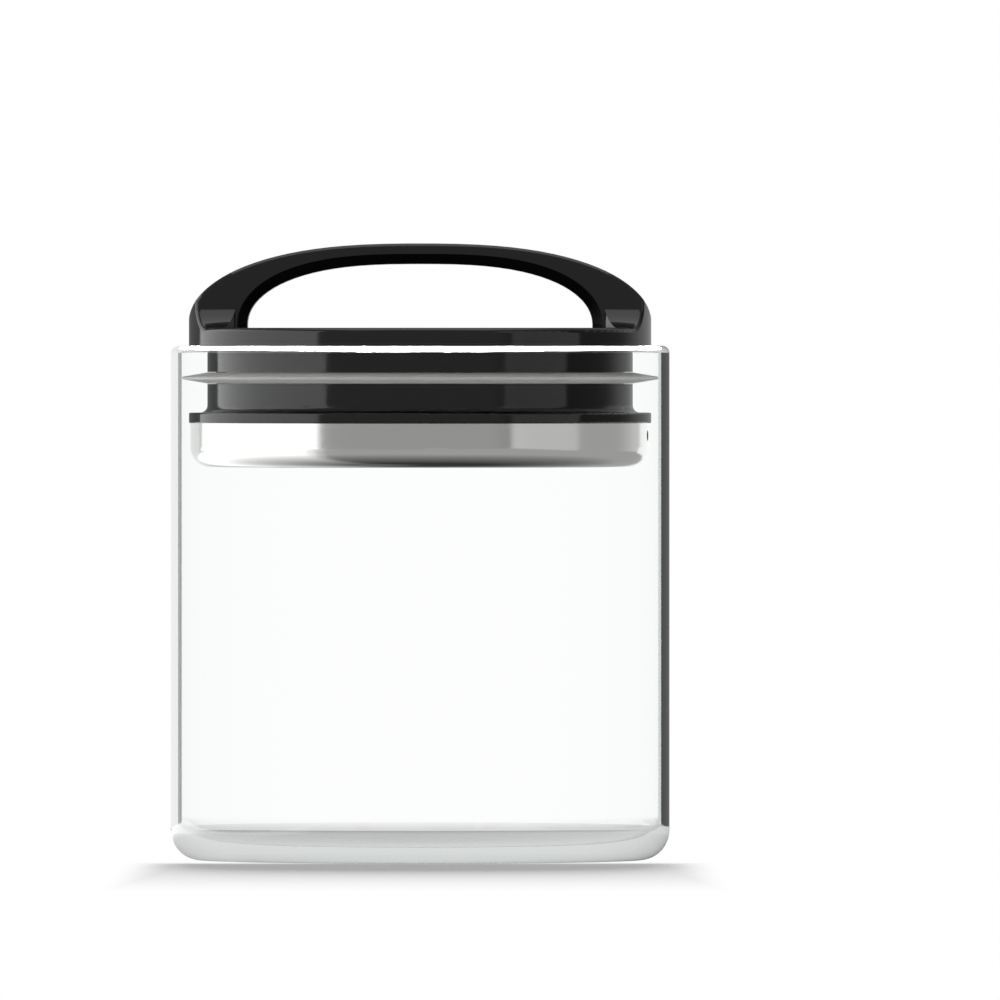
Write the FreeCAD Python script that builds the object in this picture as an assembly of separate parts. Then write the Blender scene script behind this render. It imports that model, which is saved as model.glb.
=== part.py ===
import FreeCAD, Part
import math
import os
from FreeCAD import Vector

# Food canister with a plunger lid: a glass jar, and a lid that slides down inside it.
# Pressing the handle pushes air out past the exhaust valve. Pulling it up first lifts the
# release valve off its port, so that air gets back in and the lid comes out.
# Millimetres, +Z up, the handle runs along X, the origin is the centre of the jar's foot.

# Glass jar
jar_radius = 50.0
jar_wall = 2.1
jar_height = 103.1
jar_base = 2.8
jar_heel_radius = 6.0
jar_inner_heel_radius = 4.0
jar_foot_ring = 6.0
jar_punt_depth = 0.8
jar_punt_slope = 3.0
jar_rim_outer_share = 0.68
jar_rim_inner_share = 0.28

# Lid seen from outside: steel cup, flange, neck and cover, from the bottom up
flange_gap = 1.55
cup_inset = 0.3
cup_height = 8.8
cup_sheet = 0.7
cup_corner_radius = 4.0
vent_radius = 1.05
vent_drop = 2.5
vent_turn = -8.0
flange_thickness = 2.1
flange_round = 0.3
neck_step = 3.7
neck_height = 12.7
neck_foot_radius = 1.5
cover_height = 4.3
cover_round = 1.0
cover_sink = 0.7

# Handle, moulded with the cover
handle_width = 24.0
handle_rise = 16.9
handle_straight = 0.8
handle_overhang = 0.1
handle_crown = 4.1
handle_lift = 3.0
handle_core_height = 8.0
handle_leg = 11.8
handle_chamfer = 2.0
handle_flare_rise = 3.7
handle_flare_reach = 4.4
handle_flare_slant = 2.2
handle_flare_inset = 0.4
handle_flare_sag_share = 0.1
handle_wall = 2.2
handle_outer_power = 2.55
handle_crease_power = 2.9
handle_inner_power = 2.7
handle_curve_steps = 12

# Seal ring and its groove in the neck
seal_height = 6.95
seal_thickness = 2.2
seal_lip = 0.5
seal_lip_gap = 0.12
groove_depth = 1.7
seal_groove_gap = 0.1
seal_bore_gap = 0.05

# Piston body: neck wall, rib behind the groove, spigot inside the cup, air notches in the top edge
neck_wall = 2.4
groove_back = 2.0
rib_slope = 1.5
spigot_height = 4.0
spigot_wall = 2.0
cup_fit_gap = 0.05
notch_count = 4
notch_width = 8.0
notch_depth = 1.0
cover_rest_gap = 0.1

# Release valve on the lid's axis: port, seat, gasket, plate, screw and insert
port_radius = 7.0
seat_inset = 1.2
seat_wall = 1.0
seat_height = 1.2
seat_gap = 0.05
gasket_thickness = 1.5
gasket_inset = 0.4
gasket_overhang = 0.8
plate_thickness = 2.0
collar_gap = 0.4
stop_gap = 0.05
plate_round = 0.3
stem_screw_radius = 1.5
screw_hole_gap = 0.1
screw_head_radius = 2.75
screw_head_height = 2.0
stem_washer_radius = 4.5
stem_washer_thickness = 0.8
boss_radius = 5.0
insert_radius = 2.3
insert_length = 6.0
insert_gap = 0.05
insert_groove_width = 1.5
insert_groove_depth = 0.4
thread_gap = 0.05
stem_screw_reach = 5.0
recess_length = 3.2
recess_width = 0.8
recess_depth = 1.0

# Bridge over the release valve, its bush, screws and pillars
bridge_thickness = 2.0
bridge_width = 18.0
bridge_span = 40.0
bridge_headroom = 2.2
pillar_radius = 4.5
bush_wall = 1.4
bush_gap = 0.05
bush_seat_gap = 0.05
bush_rim = 1.5
bush_rim_thickness = 0.8
bridge_screw_radius = 1.5
bridge_screw_reach = 6.0
bridge_screw_head_radius = 2.75
bridge_screw_head_height = 1.6

# Return spring round the boss, between the plate and the bridge
spring_wire = 0.7
spring_radius = 7.3
spring_turns = 3
spring_end_gap = 0.02
spring_arcs_per_turn = 4

# Guide posts under the cover, in sleeves on the piston's floor
post_radius = 3.0
post_gap = 0.05
post_end_gap = 2.0
sleeve_wall = 1.8
sleeve_height = 8.5
post_inset = 3.0
post_turn = 40.0

# Exhaust valve, beside the axis: ports, seat, disc and cage
exhaust_inset = 1.0
exhaust_port_count = 6
exhaust_port_radius = 1.3
exhaust_port_ring = 4.4
exhaust_seat_wall = 0.8
exhaust_seat_height = 0.6
exhaust_seat_margin = 0.4
exhaust_disc_overhang = 0.7
exhaust_disc_thickness = 1.2
exhaust_disc_hole_gap = 0.1
exhaust_pin_radius = 1.3
exhaust_pin_gap = 0.3
exhaust_lift = 1.5
exhaust_seat_gap = 0.05
cage_gap = 0.5
cage_wall = 1.2
cage_thickness = 1.2
cage_leg_count = 4
cage_leg_width = 4.0

# Overrun of every cut past the face that it opens, and how near an edge lies to what it is picked by
overrun = 1.0
pick_distance = 0.01

# Radii that follow from the jar's bore
bore_radius = jar_radius - jar_wall
flange_radius = bore_radius - flange_gap
neck_radius = flange_radius - neck_step
neck_bore = neck_radius - neck_wall
cup_radius = flange_radius - cup_inset
cup_bore = cup_radius - cup_sheet
groove_radius = neck_radius - groove_depth
rib_bore = groove_radius - groove_back
sleeve_bore = post_radius + post_gap
post_ring = rib_bore - post_inset - sleeve_bore - sleeve_wall

# Heights of the lid, from the rim of the jar down
cover_bottom = jar_height - cover_sink
cover_top = cover_bottom + cover_height
cover_under = cover_top - handle_wall
floor_top = cover_bottom - neck_height
floor_bottom = floor_top - flange_thickness
cup_bottom = floor_bottom - cup_height
neck_top = cover_under - cover_rest_gap
seal_middle = floor_top + seal_height
vent_middle = floor_bottom - vent_drop

# Heights of the release valve, from the floor up
seat_top = floor_top + seat_height
gasket_bottom = seat_top + seat_gap
gasket_top = gasket_bottom + gasket_thickness
plate_top = gasket_top + plate_thickness
bridge_top = cover_under - bridge_headroom
bridge_bottom = bridge_top - bridge_thickness
seat_inner = port_radius + seat_inset
seat_outer = seat_inner + seat_wall
plate_radius = seat_outer + gasket_overhang
bush_radius = boss_radius + bush_gap + bush_wall
collar_top = bridge_bottom - handle_lift - stop_gap
washer_bottom = gasket_top - stem_washer_thickness

# Exhaust valve's seats, disc and cage, from the floor up
exhaust_seat = exhaust_port_ring + exhaust_port_radius + exhaust_seat_margin
exhaust_inner_seat = exhaust_port_ring - exhaust_port_radius - exhaust_seat_margin
exhaust_disc_radius = exhaust_seat + exhaust_seat_wall + exhaust_disc_overhang
exhaust_seat_top = floor_top + exhaust_seat_height
exhaust_disc_bottom = exhaust_seat_top + exhaust_seat_gap
exhaust_disc_top = exhaust_disc_bottom + exhaust_disc_thickness
cage_under = exhaust_disc_top + exhaust_lift + stop_gap
cage_bore = exhaust_disc_radius + cage_gap
cage_radius = cage_bore + cage_wall
exhaust_place_x = cage_radius + exhaust_inset - rib_bore


def rounded_wire(corners):
    """Closed outline in the XZ plane from (x, z, corner radius) corners."""
    edges = []
    starts = []
    ends = []
    count = len(corners)
    for index in range(count):
        x, z, radius = corners[index]
        corner = Vector(x, 0, z)
        before = Vector(corners[index - 1][0], 0, corners[index - 1][1]) - corner
        after = Vector(corners[(index + 1) % count][0], 0, corners[(index + 1) % count][1]) - corner
        if radius == 0:
            starts.append(corner)
            ends.append(corner)
            continue
        before.normalize()
        after.normalize()
        half_angle = before.getAngle(after) / 2
        bisector = before + after
        bisector.normalize()
        reach = radius / math.tan(half_angle)
        middle = corner + bisector * (radius / math.sin(half_angle) - radius)
        starts.append(corner + before * reach)
        ends.append(corner + after * reach)
        edges.append(Part.Arc(starts[-1], middle, ends[-1]).toShape())
    for index in range(count):
        start = ends[index - 1]
        end = starts[index]
        edges.append(Part.LineSegment(start, end).toShape())
    return Part.Wire(Part.__sortEdges__(edges))


def turned(corners):
    """Solid of revolution about Z from (radius, height, corner radius) corners."""
    face = Part.Face(rounded_wire(corners))
    return face.revolve(Vector(0, 0, 0), Vector(0, 0, 1), 360)


def rod(radius, bottom, top, x=0, y=0):
    return Part.makeCylinder(radius, top - bottom, Vector(x, y, bottom))


def tube(outer, inner, bottom, top, x=0, y=0):
    return rod(outer, bottom, top, x, y).cut(rod(inner, bottom - overrun, top + overrun, x, y))


def ring_places(count, radius, x=0, y=0):
    """Places spaced evenly round a circle."""
    places = []
    for index in range(count):
        turn = 2 * math.pi * index / count
        places.append((x + radius * math.cos(turn), y + radius * math.sin(turn)))
    return places


def post_places():
    turn = math.radians(post_turn)
    x = post_ring * math.cos(turn)
    y = post_ring * math.sin(turn)
    return [(side_x * x, side_y * y) for side_x in (-1, 1) for side_y in (-1, 1)]


def bridge_screw_places():
    return [(0, side * bridge_span / 2) for side in (-1, 1)]


def exhaust_port_places():
    return ring_places(exhaust_port_count, exhaust_port_ring, exhaust_place_x)


def export(shape, node):
    shape.exportStep("parts/" + node + ".step")


def vent_bore():
    """Cylinder through both walls of the cup, along the line of its two vents."""
    turn = math.radians(vent_turn)
    line = Vector(math.cos(turn), math.sin(turn), 0)
    start = line * -(cup_radius + overrun) + Vector(0, 0, vent_middle)
    return Part.makeCylinder(vent_radius, 2 * (cup_radius + overrun), start, line)


def make_glass_jar():
    foot_inside = jar_radius - jar_heel_radius - jar_foot_ring
    return turned([
        (0, jar_punt_depth, 0),
        (foot_inside - jar_punt_slope, jar_punt_depth, jar_punt_slope),
        (foot_inside, 0, 0),
        (jar_radius, 0, jar_heel_radius),
        (jar_radius, jar_height, jar_wall * jar_rim_outer_share),
        (bore_radius, jar_height, jar_wall * jar_rim_inner_share),
        (bore_radius, jar_base, jar_inner_heel_radius),
        (0, jar_base, 0),
    ])


def make_seal_ring():
    """Flat ring in the groove, whose lip tapers from both sides to the glass."""
    inside = groove_radius + seal_bore_gap
    tip = bore_radius - seal_lip_gap
    half = seal_thickness / 2
    half_lip = seal_lip / 2
    return turned([
        (inside, seal_middle - half, 0),
        (neck_radius, seal_middle - half, 0),
        (tip, seal_middle - half_lip, 0),
        (tip, seal_middle + half_lip, 0),
        (neck_radius, seal_middle + half, 0),
        (inside, seal_middle + half, 0),
    ])


def make_piston_body():
    """Neck with the seal's groove, flange, floor with the air ports, and spigot in the cup."""
    spigot_radius = cup_bore - cup_fit_gap
    spigot_bottom = floor_bottom - spigot_height
    groove_half = seal_thickness / 2 + seal_groove_gap
    groove_low = seal_middle - groove_half
    groove_high = seal_middle + groove_half
    rib_low = groove_low - groove_back
    rib_high = groove_high + groove_back
    body = turned([
        (0, floor_bottom, 0),
        (spigot_radius - spigot_wall, floor_bottom, 0),
        (spigot_radius - spigot_wall, spigot_bottom, 0),
        (spigot_radius, spigot_bottom, 0),
        (spigot_radius, floor_bottom, 0),
        (flange_radius, floor_bottom, flange_round),
        (flange_radius, floor_top, flange_round),
        (neck_radius, floor_top, neck_foot_radius),
        (neck_radius, groove_low, 0),
        (groove_radius, groove_low, 0),
        (groove_radius, groove_high, 0),
        (neck_radius, groove_high, 0),
        (neck_radius, neck_top, flange_round),
        (neck_bore, neck_top, 0),
        (neck_bore, rib_high + rib_slope, 0),
        (rib_bore, rib_high, 0),
        (rib_bore, rib_low, 0),
        (neck_bore, rib_low - rib_slope, 0),
        (neck_bore, floor_top, 0),
        (0, floor_top, 0),
    ])
    sleeve_top = floor_top + sleeve_height
    added = [
        tube(seat_outer, seat_inner, floor_top, seat_top),
        tube(exhaust_seat + exhaust_seat_wall, exhaust_seat, floor_top, exhaust_seat_top, exhaust_place_x),
        tube(exhaust_inner_seat, exhaust_inner_seat - exhaust_seat_wall, floor_top, exhaust_seat_top,
             exhaust_place_x),
    ]
    removed = [vent_bore(), rod(port_radius, floor_bottom - overrun, floor_top + overrun)]
    for x, y in post_places():
        added.append(tube(sleeve_bore + sleeve_wall, sleeve_bore, floor_top, sleeve_top, x, y))
    for x, y in bridge_screw_places():
        added.append(rod(pillar_radius, floor_top, bridge_bottom, x, y))
        removed.append(rod(bridge_screw_radius + thread_gap, bridge_top - bridge_screw_reach - overrun,
                           bridge_bottom + overrun, x, y))
    for x, y in exhaust_port_places():
        removed.append(rod(exhaust_port_radius, floor_bottom - overrun, floor_top + overrun, x, y))
    for index in range(notch_count):
        notch = Part.makeBox(neck_wall + 2 * overrun, notch_width, notch_depth + overrun,
                             Vector(neck_bore - overrun, -notch_width / 2, neck_top - notch_depth))
        notch.rotate(Vector(0, 0, 0), Vector(0, 0, 1), 360 * (index + 1 / 2) / notch_count)
        removed.append(notch)
    return body.fuse(added).removeSplitter().cut(removed)


def make_base_cup():
    cup = turned([
        (0, cup_bottom, 0),
        (cup_radius, cup_bottom, cup_corner_radius),
        (cup_radius, floor_bottom, 0),
        (cup_bore, floor_bottom, 0),
        (cup_bore, cup_bottom + cup_sheet, cup_corner_radius - cup_sheet),
        (0, cup_bottom + cup_sheet, 0),
    ])
    return cup.cut(vent_bore())


def arch_face(half_span, crown, power, y=0):
    """Face under an arch that rises from straight legs: a flattened half ellipse."""
    springing = cover_top + handle_straight
    foot = cover_bottom - overrun
    points = []
    for index in range(handle_curve_steps + 1):
        turn = math.pi * index / handle_curve_steps
        reach = math.copysign(abs(math.cos(turn)) ** (2 / power), math.cos(turn))
        points.append(Vector(half_span * reach, y, springing + (crown - springing) * math.sin(turn)))
    curve = Part.BSplineCurve()
    curve.interpolate(points)
    corners = [points[-1], Vector(-half_span, y, foot), Vector(half_span, y, foot), points[0]]
    edges = [curve.toShape()]
    for start, end in zip(corners, corners[1:]):
        edges.append(Part.LineSegment(start, end).toShape())
    return Part.Face(Part.Wire(edges))


def arch_bar(half_span, crown, power, width):
    return arch_face(half_span, crown, power, -width / 2).extrude(Vector(0, width, 0))


def arch_opening():
    """Finger opening under the handle, with a chamfer along its front and back edges."""
    half_span = flange_radius - handle_leg
    crown = cover_top + handle_rise - handle_crown
    half_width = handle_width / 2
    opening = [arch_bar(half_span, crown, handle_inner_power, handle_width + 2 * overrun)]
    for side in (-1, 1):
        wide = arch_face(half_span + handle_chamfer, crown + handle_chamfer, handle_crease_power,
                         side * half_width)
        narrow = arch_face(half_span, crown, handle_inner_power, side * (half_width - handle_chamfer))
        opening.append(Part.makeLoft([wide.OuterWire, narrow.OuterWire], True, True))
    return opening[0].fuse(opening[1:])


def foot_flare():
    """Hollow flare at the front of the right foot, with a slanted end beside the opening's chamfer."""
    face_y = -handle_width / 2
    inside_y = face_y + handle_wall
    start_x = flange_radius - handle_leg + handle_chamfer + handle_flare_inset
    toe = Vector(start_x, face_y - handle_flare_reach, cover_top)
    crest = Vector(start_x, face_y, cover_top + handle_flare_rise)
    chord = toe - crest
    sag = Vector(0, handle_flare_rise, -handle_flare_reach).normalize() * (chord.Length * handle_flare_sag_share)
    edges = [Part.Arc(crest, crest + chord / 2 + sag, toe).toShape()]
    corners = [toe, Vector(start_x, toe.y, cover_under), Vector(start_x, inside_y, cover_under),
               Vector(start_x, inside_y, crest.z), crest]
    for start, end in zip(corners, corners[1:]):
        edges.append(Part.LineSegment(start, end).toShape())
    bar = Part.Face(Part.Wire(edges)).extrude(Vector(handle_leg, 0, 0))
    apex = Vector(start_x, face_y, cover_top)
    ahead = Vector(0, -2 * handle_flare_reach, 0)
    corners = [apex, apex + ahead, apex + ahead + Vector(2 * handle_flare_slant, 0, 0), apex]
    wedge = Part.Face(Part.makePolygon(corners)).extrude(Vector(0, 0, handle_flare_rise))
    return bar.cut(wedge)


def edge_middle(edge):
    return edge.valueAt((edge.FirstParameter + edge.LastParameter) / 2)


def outer_edges(shape):
    """Edges that run round the top of the cover, up its feet and along the arch."""
    half_width = handle_width / 2
    picked = []
    for edge in shape.Edges:
        middle = edge_middle(edge)
        off_rim = abs(math.hypot(middle.x, middle.y) - flange_radius)
        off_side = abs(abs(middle.y) - half_width)
        on_rim = off_rim < pick_distance and middle.z > cover_top - pick_distance
        on_arch = off_side < pick_distance and middle.z > cover_top + handle_rise - handle_chamfer / 2
        if on_rim or on_arch:
            picked.append(edge)
    return picked


def leg_cores():
    """Hollows in the handle's legs, open below, that leave an even wall."""
    crown = cover_top + handle_rise
    outside = arch_bar(flange_radius + handle_overhang - handle_wall, crown - handle_wall,
                       handle_outer_power, handle_width - 2 * handle_wall)
    inside = arch_bar(flange_radius - handle_leg + handle_wall, crown - handle_crown + handle_wall,
                      handle_inner_power, handle_width)
    core_top = cover_top + handle_core_height
    return outside.cut(inside).common(rod(flange_radius - handle_wall, cover_bottom - overrun, core_top))


def make_handle_cover():
    """Arch handle and cover in one moulding, cored from below, with the boss and guide posts."""
    crown = cover_top + handle_rise
    arch = arch_bar(flange_radius + handle_overhang, crown, handle_outer_power, handle_width)
    arch = arch.cut(arch_opening())
    plate = rod(flange_radius + handle_leg, cover_bottom, cover_top)
    right = foot_flare()
    front = [right, right.mirror(Vector(0, 0, 0), Vector(1, 0, 0))]
    back = [flare.mirror(Vector(0, 0, 0), Vector(0, 1, 0)) for flare in front]
    blank = plate.fuse(arch).fuse(front + back)
    blank = blank.common(rod(flange_radius, cover_bottom, crown + overrun)).removeSplitter()
    cover = blank.Solids[0].makeFillet(cover_round, outer_edges(blank))
    hollow = rod(flange_radius - handle_wall, cover_bottom - overrun, cover_under)
    cover = cover.cut([hollow, leg_cores()])
    inner = [rod(boss_radius, plate_top, cover_under)]
    for x, y in post_places():
        inner.append(rod(post_radius, floor_top + post_end_gap, cover_under, x, y))
    insert_top = plate_top + insert_length + insert_gap
    insert_hole = rod(insert_radius + insert_gap, plate_top - overrun, insert_top)
    return cover.fuse(inner).removeSplitter().cut(insert_hole)


def cross_recess(x, y, low, high):
    """Cross-shaped recess for a screwdriver."""
    along = Part.makeBox(recess_length, recess_width, high - low,
                         Vector(x - recess_length / 2, y - recess_width / 2, low))
    across = Part.makeBox(recess_width, recess_length, high - low,
                          Vector(x - recess_width / 2, y - recess_length / 2, low))
    return along.fuse(across)


def make_boss_insert():
    """Threaded insert flush with the boss's end, with a groove that the plastic grips."""
    inside = stem_screw_radius + thread_gap
    middle = plate_top + insert_length / 2
    waist = insert_radius - insert_groove_depth
    return turned([
        (inside, plate_top, 0),
        (insert_radius, plate_top, 0),
        (insert_radius, middle - insert_groove_width / 2, 0),
        (waist, middle - insert_groove_width / 2, 0),
        (waist, middle + insert_groove_width / 2, 0),
        (insert_radius, middle + insert_groove_width / 2, 0),
        (insert_radius, plate_top + insert_length, 0),
        (inside, plate_top + insert_length, 0),
    ])


def make_release_valve():
    """Plate that closes the port, with a collar round the boss that stops under the bridge."""
    hole = stem_screw_radius + screw_hole_gap
    collar_radius = spring_radius - spring_wire / 2 - collar_gap
    collar_bore = boss_radius + bush_gap
    return turned([
        (hole, gasket_top, 0),
        (plate_radius, gasket_top, 0),
        (plate_radius, plate_top, plate_round),
        (collar_radius, plate_top, 0),
        (collar_radius, collar_top, plate_round),
        (collar_bore, collar_top, 0),
        (collar_bore, plate_top, 0),
        (hole, plate_top, 0),
    ])


def make_release_gasket():
    return tube(plate_radius, seat_inner - gasket_inset, gasket_bottom, gasket_top)


def make_stem_washer():
    return tube(stem_washer_radius, stem_screw_radius + screw_hole_gap, washer_bottom, gasket_top)


def make_stem_screw():
    head_bottom = washer_bottom - screw_head_height
    screw = rod(screw_head_radius, head_bottom, washer_bottom)
    screw = screw.fuse(rod(stem_screw_radius, washer_bottom, plate_top + stem_screw_reach))
    return screw.cut(cross_recess(0, 0, head_bottom - overrun, head_bottom + recess_depth))


def make_valve_bridge():
    """Bar with round ends over the release valve, on the two pillars."""
    bar = Part.makeBox(bridge_width, bridge_span, bridge_thickness,
                       Vector(-bridge_width / 2, -bridge_span / 2, bridge_bottom))
    holes = [rod(bush_radius + bush_seat_gap, bridge_bottom - overrun, bridge_top + overrun)]
    ends = []
    for x, y in bridge_screw_places():
        ends.append(rod(bridge_width / 2, bridge_bottom, bridge_top, x, y))
        holes.append(rod(bridge_screw_radius + screw_hole_gap, bridge_bottom - overrun,
                         bridge_top + overrun, x, y))
    return bar.fuse(ends).removeSplitter().cut(holes)


def make_guide_bush():
    bush_bore = boss_radius + bush_gap
    rim_top = bridge_top + bush_rim_thickness
    return turned([
        (bush_bore, bridge_bottom, 0),
        (bush_radius, bridge_bottom, 0),
        (bush_radius, bridge_top, 0),
        (bush_radius + bush_rim, bridge_top, 0),
        (bush_radius + bush_rim, rim_top, 0),
        (bush_bore, rim_top, 0),
    ])


def make_bridge_screws():
    screws = []
    for x, y in bridge_screw_places():
        head_top = bridge_top + bridge_screw_head_height
        screw = rod(bridge_screw_head_radius, bridge_top, head_top, x, y)
        screw = screw.fuse(rod(bridge_screw_radius, bridge_top - bridge_screw_reach, bridge_top, x, y))
        screws.append(screw.cut(cross_recess(x, y, head_top - recess_depth, head_top + overrun)))
    return Part.makeCompound(screws)


def spring_low():
    return plate_top + spring_end_gap + spring_wire / 2


def spring_pitch():
    return (bridge_bottom - spring_end_gap - spring_wire / 2 - spring_low()) / spring_turns


def helix_point(turns):
    turn = 2 * math.pi * turns
    return Vector(spring_radius * math.cos(turn), spring_radius * math.sin(turn),
                  spring_low() + spring_pitch() * turns)


def helix_direction(turns):
    turn = 2 * math.pi * turns
    sweep = 2 * math.pi * spring_radius
    return Vector(-sweep * math.sin(turn), sweep * math.cos(turn), spring_pitch()).normalize()


def biarc(start, start_direction, end, end_direction):
    """Two arcs that join two points smoothly in the given directions."""
    gap = end - start
    both = start_direction + end_direction
    bend = 1 - start_direction.dot(end_direction)
    along = gap.dot(both)
    reach = (math.sqrt(along ** 2 + 2 * bend * gap.dot(gap)) - along) / (2 * bend)
    first = start + start_direction * reach
    second = end - end_direction * reach
    joint = (first + second) / 2
    arcs = []
    for near, control, far in ((start, first, joint), (joint, second, end)):
        weight = (far - near).Length / (2 * reach)
        middle = ((near + far) / 2 + control * weight) / (1 + weight)
        arcs.append(Part.Arc(near, middle, far).toShape())
    return arcs


def spring_self_gap():
    """Least clear distance between turns, measured on points along the wire's middle line."""
    steps = spring_turns * spring_arcs_per_turn * spring_arcs_per_turn
    points = [helix_point(spring_turns * index / steps) for index in range(steps + 1)]
    apart = steps // spring_turns // 2
    distances = []
    for index in range(steps + 1 - apart):
        distances += [(points[index] - other).Length for other in points[index + apart:]]
    return min(distances) - spring_wire


def make_return_spring():
    """Round wire wound in an open helix between the plate and the bridge."""
    edges = []
    count = spring_turns * spring_arcs_per_turn
    for index in range(count):
        start = index / spring_arcs_per_turn
        end = (index + 1) / spring_arcs_per_turn
        edges += biarc(helix_point(start), helix_direction(start), helix_point(end), helix_direction(end))
    section = Part.Wire(Part.makeCircle(spring_wire / 2, helix_point(0), helix_direction(0)))
    print("spring: least gap between turns", round(spring_self_gap(), 3), "mm")
    return Part.Wire(edges).makePipeShell([section], True)


def make_exhaust_valve():
    return tube(exhaust_disc_radius, exhaust_pin_radius + exhaust_disc_hole_gap,
                exhaust_disc_bottom, exhaust_disc_top, exhaust_place_x)


def make_exhaust_cage():
    """Cap on legs over the disc, with a pin on which the disc rises."""
    wall = tube(cage_radius, cage_bore, floor_top, cage_under, exhaust_place_x)
    legs = []
    for index in range(cage_leg_count):
        leg = Part.makeBox(cage_radius + overrun, cage_leg_width, cage_under - floor_top,
                           Vector(exhaust_place_x, -cage_leg_width / 2, floor_top))
        leg.rotate(Vector(exhaust_place_x, 0, 0), Vector(0, 0, 1), 360 * index / cage_leg_count)
        legs.append(wall.common(leg))
    cap = rod(cage_radius, cage_under, cage_under + cage_thickness, exhaust_place_x)
    pin = rod(exhaust_pin_radius, floor_top + exhaust_pin_gap, cage_under, exhaust_place_x)
    return cap.fuse(legs + [pin]).removeSplitter()


os.makedirs("parts", exist_ok=True)
export(make_glass_jar(), "glass_jar")
export(make_seal_ring(), "seal_ring")
export(make_piston_body(), "piston_body")
export(make_base_cup(), "base_cup")
export(make_handle_cover(), "handle_cover")
export(make_boss_insert(), "boss_insert")
export(make_release_valve(), "release_valve")
export(make_release_gasket(), "release_gasket")
export(make_stem_washer(), "stem_washer")
export(make_stem_screw(), "stem_screw")
export(make_valve_bridge(), "valve_bridge")
export(make_guide_bush(), "guide_bush")
export(make_bridge_screws(), "bridge_screws")
export(make_return_spring(), "return_spring")
export(make_exhaust_valve(), "exhaust_valve")
export(make_exhaust_cage(), "exhaust_cage")
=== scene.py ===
import math

import bpy
from bpy.props import FloatProperty, FloatVectorProperty, IntProperty, PointerProperty
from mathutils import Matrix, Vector


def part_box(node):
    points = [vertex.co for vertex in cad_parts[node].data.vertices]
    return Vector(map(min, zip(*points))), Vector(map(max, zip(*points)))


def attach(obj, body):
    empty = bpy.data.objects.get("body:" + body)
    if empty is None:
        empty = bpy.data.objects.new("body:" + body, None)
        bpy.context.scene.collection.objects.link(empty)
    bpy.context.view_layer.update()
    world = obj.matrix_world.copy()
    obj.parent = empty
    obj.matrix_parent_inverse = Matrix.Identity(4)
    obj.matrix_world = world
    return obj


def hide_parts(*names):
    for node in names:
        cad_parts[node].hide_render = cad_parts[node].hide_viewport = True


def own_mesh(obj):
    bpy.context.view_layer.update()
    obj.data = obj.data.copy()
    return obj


bl_info = {
    "name": "Plunger-lid food canister",
    "version": (1, 0, 0),
    "blender": (4, 5, 0),
    "location": "View3D > Sidebar > Canister",
    "description": "Dresses a glass food canister with a plunger lid and sets it in a white studio",
    "category": "Object",
}

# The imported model, with every node at the origin and its place in its mesh
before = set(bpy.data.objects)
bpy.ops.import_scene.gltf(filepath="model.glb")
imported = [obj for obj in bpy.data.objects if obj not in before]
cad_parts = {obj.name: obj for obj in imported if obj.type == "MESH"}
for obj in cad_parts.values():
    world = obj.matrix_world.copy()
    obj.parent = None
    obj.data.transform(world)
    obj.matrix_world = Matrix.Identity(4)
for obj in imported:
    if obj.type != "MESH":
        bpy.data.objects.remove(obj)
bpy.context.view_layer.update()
_, jar_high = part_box("glass_jar")
seal_low, seal_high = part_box("seal_ring")
spring_low, spring_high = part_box("return_spring")

MM = 0.001


def linear(hex_colour):
    """Linear red, green and blue of an sRGB hex colour."""
    channels = []
    for start in (1, 3, 5):
        value = int(hex_colour[start:start + 2], 16) / 255
        channels.append(value / 12.92 if value <= 0.04045 else ((value + 0.055) / 1.055) ** 2.4)
    return tuple(channels)


def opaque(colour):
    """Colour with full alpha, as a colour socket takes it."""
    return (*colour, 1.0)


def add_node(tree, kind, inputs=None, **settings):
    """Adds a node with its settings, and sets or links its inputs."""
    node = tree.nodes.new(kind)
    for name, value in settings.items():
        setattr(node, name, value)
    for socket, value in (inputs or {}).items():
        if isinstance(value, bpy.types.NodeSocket):
            tree.links.new(value, node.inputs[socket])
        else:
            node.inputs[socket].default_value = value
    return node


def empty_material(name):
    """New material and its node tree, with nothing in it yet."""
    material = bpy.data.materials.new(name)
    material.use_nodes = True
    material.node_tree.nodes.clear()
    return material, material.node_tree


class JarSizes(bpy.types.PropertyGroup):
    """Sizes of the glass jar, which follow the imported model"""

    radius: FloatProperty(
        name="Radius", description="Outside radius of the glass", default=jar_high.x, unit="LENGTH")
    height: FloatProperty(
        name="Height", description="Height of the rim above the foot", default=jar_high.z, unit="LENGTH")
    wall: FloatProperty(
        name="Wall", description="Thickness of the glass wall", default=2.1 * MM, unit="LENGTH")
    base: FloatProperty(
        name="Base", description="Height of the inner floor above the foot", default=2.8 * MM, unit="LENGTH")
    heel: FloatProperty(
        name="Heel radius", description="Rounding of the outer lower corner", default=6 * MM, unit="LENGTH")
    inner_heel: FloatProperty(
        name="Inner heel radius", description="Rounding of the inner lower corner", default=4 * MM,
        unit="LENGTH")
    foot_ring: FloatProperty(
        name="Foot ring", description="Width of the flat ring that the jar stands on", default=6 * MM,
        unit="LENGTH")
    punt_depth: FloatProperty(
        name="Punt depth", description="Depth of the hollow under the base", default=0.8 * MM, unit="LENGTH")
    punt_slope: FloatProperty(
        name="Punt slope", description="Width of the slope at the hollow's edge", default=3 * MM,
        unit="LENGTH")
    rim_outside: FloatProperty(
        name="Rim outside", description="Rounding of the fire-polished rim outside", default=1.43 * MM,
        unit="LENGTH")
    rim_inside: FloatProperty(
        name="Rim inside", description="Rounding of the fire-polished rim inside", default=0.59 * MM,
        unit="LENGTH")
    segments: IntProperty(
        name="Segments", description="Sides of the turned glass", default=256, min=64, max=512)


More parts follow.
